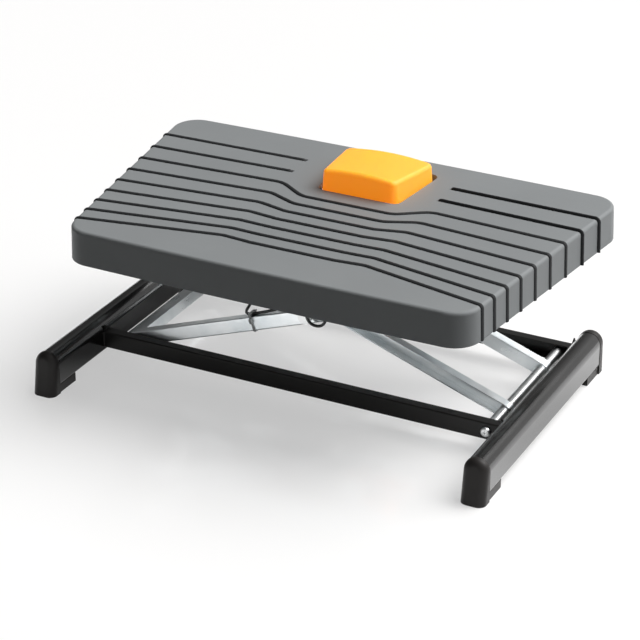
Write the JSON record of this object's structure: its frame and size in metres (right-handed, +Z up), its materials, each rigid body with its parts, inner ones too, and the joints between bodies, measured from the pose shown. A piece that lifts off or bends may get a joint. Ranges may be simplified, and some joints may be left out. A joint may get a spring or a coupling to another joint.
{
  "type": "footrest",
  "caption": "Footrest with a wide foot plate and rubber grip strips on a scissor frame between tubular rails; a pedal releases its height and the plate tilts.",
  "frame": {"origin": "centre of the bounding box on the floor", "axes": "+X along the cross bars to the pivot side, +Y to the rear edge with the pedal, +Z up"},
  "size_m": [0.5688, 0.377, 0.2343],
  "materials": {
    "black_rails": "gloss powder coat",
    "black_bars": "satin powder coat",
    "cap_plastic": "fine grain",
    "zinc_legs": "bright zinc plate",
    "zinc_frame": "zinc plate",
    "steel_pins": "zinc plate",
    "glide_plastic": "natural",
    "cylinder_paint": "satin",
    "rod_chrome": "polished",
    "head_aluminium": "die cast",
    "plate_plastic": "fine grain",
    "strip_rubber": "matte",
    "pedal_plastic": "satin",
    "cable_plastic": "smooth",
    "tie_plastic": "smooth"
  },
  "bodies": {
    "base": {"rail_left": "black_rails", "rail_right": "black_rails", "cap_front_left": "cap_plastic", "cap_front_right": "cap_plastic", "cap_rear_left": "cap_plastic", "cap_rear_right": "cap_plastic", "front_bar": "black_bars", "rear_bar": "black_bars", "pivot_screws": "steel_pins"},
    "inner_legs": {"inner_leg_front": "zinc_legs", "inner_leg_rear": "zinc_legs", "lower_pivot_tube": "steel_pins", "pivot_bushes": "glide_plastic", "centre_axle": "steel_pins", "axle_clips": "steel_pins", "axle_spacers": "steel_pins", "upper_axle": "steel_pins"},
    "outer_legs": {"outer_leg_front": "zinc_legs", "outer_leg_rear": "zinc_legs", "lower_cross_member": "zinc_legs", "glide_pins": "steel_pins", "cable_tie": "tie_plastic"},
    "lower_glide_pair": {"lower_glides": "glide_plastic"},
    "upper_glide_pair": {"upper_glides": "glide_plastic", "gas_rod": "rod_chrome"},
    "upper_frame": {"upper_channel_front": "zinc_frame", "upper_channel_rear": "zinc_frame", "upper_pivot_tube": "steel_pins", "upper_pivot_bolts": "steel_pins", "strap_left": "zinc_frame", "strap_right": "zinc_frame", "gas_spring_crossbar": "zinc_frame", "crossbar_screws": "steel_pins", "strap_screws": "steel_pins", "gas_cylinder": "cylinder_paint", "release_head": "head_aluminium", "lever_pin": "steel_pins", "cable_clip": "cable_plastic", "friction_washers": "glide_plastic", "cable_head_run": "cable_plastic", "cable_leg_run": "cable_plastic", "release_wire": "steel_pins"},
    "lever": {"release_lever": "steel_pins"},
    "plate": {"foot_plate": "plate_plastic", "grip_strips": "strip_rubber", "tilt_bolts": "steel_pins", "tilt_nuts": "steel_pins", "pedal_pin": "steel_pins", "pedal_spring": "steel_pins", "pedal_bracket": "zinc_frame", "bracket_screws": "steel_pins", "cable_pedal_run": "cable_plastic", "pedal_wire": "steel_pins"},
    "pedal_block": {"pedal": "pedal_plastic"}
  },
  "joints": [
    {"name": "lift", "type": "hinge", "parent": "base", "child": "inner_legs", "pos_m": [0.234, 0.035, 0.02575], "axis": [0, 1, 0], "range_deg": [-9.5, 12.5]},
    {"name": "centre_pivot", "type": "hinge", "parent": "inner_legs", "child": "outer_legs", "pos_m": [0.006, 0.035, 0.10649], "axis": [0, 1, 0], "range_deg": [-25.1, 19.1]},
    {"name": "upper_pivot", "type": "hinge", "parent": "outer_legs", "child": "upper_frame", "pos_m": [0.234, 0.035, 0.18723], "axis": [0, 1, 0], "range_deg": [-9.6, 12.6], "deforming": ["cable_head_run", "cable_leg_run"]},
    {"name": "lower_glide_pivot", "type": "hinge", "parent": "outer_legs", "child": "lower_glide_pair", "pos_m": [-0.222, 0.035, 0.02575], "axis": [0, 1, 0], "range_deg": [-9.6, 12.6]},
    {"name": "upper_glide_pivot", "type": "hinge", "parent": "inner_legs", "child": "upper_glide_pair", "pos_m": [-0.222, 0.035, 0.18723], "axis": [0, 1, 0], "range_deg": [-12.6, 9.6]},
    {"name": "tilt", "type": "hinge", "parent": "upper_frame", "child": "plate", "pos_m": [0, -0.076, 0.19248], "axis": [1, 0, 0], "range_deg": [-1, 14], "deforming": ["cable_pedal_run"]},
    {"name": "pedal_press", "type": "hinge", "parent": "plate", "child": "pedal_block", "pos_m": [0, 0.04816, 0.19795], "axis": [-1, 0, 0], "range_deg": [0, 7], "stiffness_Nm_per_rad": 2.5, "springref_deg": -6.88, "deforming": ["pedal_spring", "pedal_wire"]},
    {"name": "release_lever_turn", "type": "hinge", "parent": "upper_frame", "child": "lever", "pos_m": [0.034, 0.014, 0.19023], "axis": [0, 1, 0], "range_deg": [0, 4.49], "deforming": ["release_wire"]}
  ],
  "couplings": [
    {"joint": "centre_pivot", "follows": "lift", "ratio": -2},
    {"joint": "upper_pivot", "follows": "lift", "ratio": 1},
    {"joint": "lower_glide_pivot", "follows": "lift", "ratio": 1},
    {"joint": "upper_glide_pivot", "follows": "lift", "ratio": -1},
    {"joint": "release_lever_turn", "follows": "pedal_press", "ratio": 0.6337}
  ]
}
